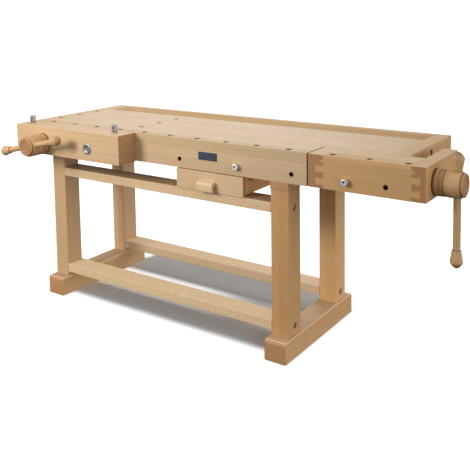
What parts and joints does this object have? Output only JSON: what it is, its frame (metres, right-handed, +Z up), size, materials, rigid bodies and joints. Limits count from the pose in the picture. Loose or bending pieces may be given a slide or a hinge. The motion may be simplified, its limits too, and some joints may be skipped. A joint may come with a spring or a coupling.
{
  "type": "woodworking bench",
  "caption": "Cabinetmaker's bench with a front vise, a dovetailed tail vise, round dog holes, a rear tool tray and a drawer on a trestle stand.",
  "frame": {"origin": "on the floor, under the centre of the whole object's bounding box", "axes": "+X along the bench to the tail vise, +Y from the front vise to the tool tray, +Z up"},
  "size_m": [2.1584, 0.854, 0.9066],
  "materials": {
    "beech": "oiled",
    "beech_dark": "oiled",
    "plywood": "satin",
    "zinc_steel": "satin",
    "steel": "bright",
    "iron": "matt",
    "plate": "satin"
  },
  "bodies": {
    "bench": {"foot_left": "beech", "foot_right": "beech", "leg_front_left": "beech", "leg_front_right": "beech", "leg_rear_left": "beech", "leg_rear_right": "beech", "bearer_left": "beech", "bearer_right": "beech", "stretcher_front": "beech", "stretcher_rear": "beech", "rail_upper": "beech", "frame_bolts": "zinc_steel", "cap_bolts": "zinc_steel", "barrel_nuts": "zinc_steel", "locating_pegs": "beech", "top_slab": "beech", "front_apron": "beech", "end_cap_left": "beech", "end_cap_right": "beech", "rear_rail": "beech", "tray_floor": "plywood", "tray_ramp": "beech", "name_plate_blank": "plate", "front_nut": "iron", "front_guide_socket": "iron", "front_guide_block": "beech", "tail_nut": "iron", "tail_guide_block": "beech", "drawer_runners": "beech"},
    "front_jaw": {"front_jaw_block": "beech", "front_guide_bar": "steel", "front_guide_cap": "zinc_steel", "front_flange": "iron"},
    "front_screw": {"front_screw_rod": "steel", "front_hub": "beech"},
    "front_handle": {"front_handle_bar": "beech", "front_knob_left": "beech", "front_knob_right": "beech"},
    "tail_vise": {"tail_front_board": "beech", "tail_jaw_block": "beech_dark", "tail_end_block": "beech_dark", "tail_top_strip": "beech", "tail_guide_bar": "steel", "tail_flange": "iron"},
    "tail_screw": {"tail_screw_rod": "steel", "tail_hub": "beech"},
    "tail_handle": {"tail_handle_bar": "beech", "tail_knob_top": "beech", "tail_knob_bottom": "beech"},
    "drawer": {"drawer_front": "beech", "drawer_side_left": "beech", "drawer_side_right": "beech", "drawer_back": "beech", "drawer_bottom": "plywood", "drawer_pull": "beech"},
    "jaw_dog_left": {"jaw_dog_left": "zinc_steel"},
    "jaw_dog_right": {"jaw_dog_right": "zinc_steel"},
    "apron_dog": {"apron_dog": "zinc_steel"},
    "tail_dog": {"tail_dog": "zinc_steel"}
  },
  "joints": [
    {"name": "front_screw_turn", "type": "hinge", "parent": "front_jaw", "child": "front_screw", "pos_m": [-0.87318, -0.39605, 0.78], "axis": [0, -1, 0], "range_deg": [0, 9000]},
    {"name": "front_jaw_slide", "type": "slide", "parent": "bench", "child": "front_jaw", "axis": [0, -1, 0], "range_m": [0, 0.1501]},
    {"name": "front_handle_slide", "type": "slide", "parent": "front_screw", "child": "front_handle", "axis": [0.9755, 0, 0.2198], "range_m": [-0.093, 0.093]},
    {"name": "tail_screw_turn", "type": "hinge", "parent": "tail_vise", "child": "tail_screw", "pos_m": [1.04832, -0.11105, 0.789], "axis": [1, 0, 0], "range_deg": [-330, 12000]},
    {"name": "tail_vise_slide", "type": "slide", "parent": "bench", "child": "tail_vise", "axis": [1, 0, 0], "range_m": [-0.0056, 0.2001]},
    {"name": "tail_handle_slide", "type": "slide", "parent": "tail_screw", "child": "tail_handle", "axis": [0, 0, 1], "range_m": [0, 0.186]},
    {"name": "drawer_slide", "type": "slide", "parent": "bench", "child": "drawer", "axis": [0, -1, 0], "range_m": [0, 0.3]},
    {"name": "jaw_dog_left_lift", "type": "slide", "parent": "front_jaw", "child": "jaw_dog_left", "axis": [0, 0, 1], "range_m": [0, 0.09]},
    {"name": "jaw_dog_right_lift", "type": "slide", "parent": "front_jaw", "child": "jaw_dog_right", "axis": [0, 0, 1], "range_m": [0, 0.09]},
    {"name": "apron_dog_pull", "type": "slide", "parent": "bench", "child": "apron_dog", "axis": [0, -1, 0], "range_m": [0, 0.06]},
    {"name": "tail_dog_pull", "type": "slide", "parent": "tail_vise", "child": "tail_dog", "axis": [0, -1, 0], "range_m": [0, 0.06]}
  ],
  "couplings": [
    {"joint": "front_jaw_slide", "follows": "front_screw_turn", "m_per_rad": 0.00095493},
    {"joint": "tail_vise_slide", "follows": "tail_screw_turn", "m_per_rad": 0.00095493}
  ]
}
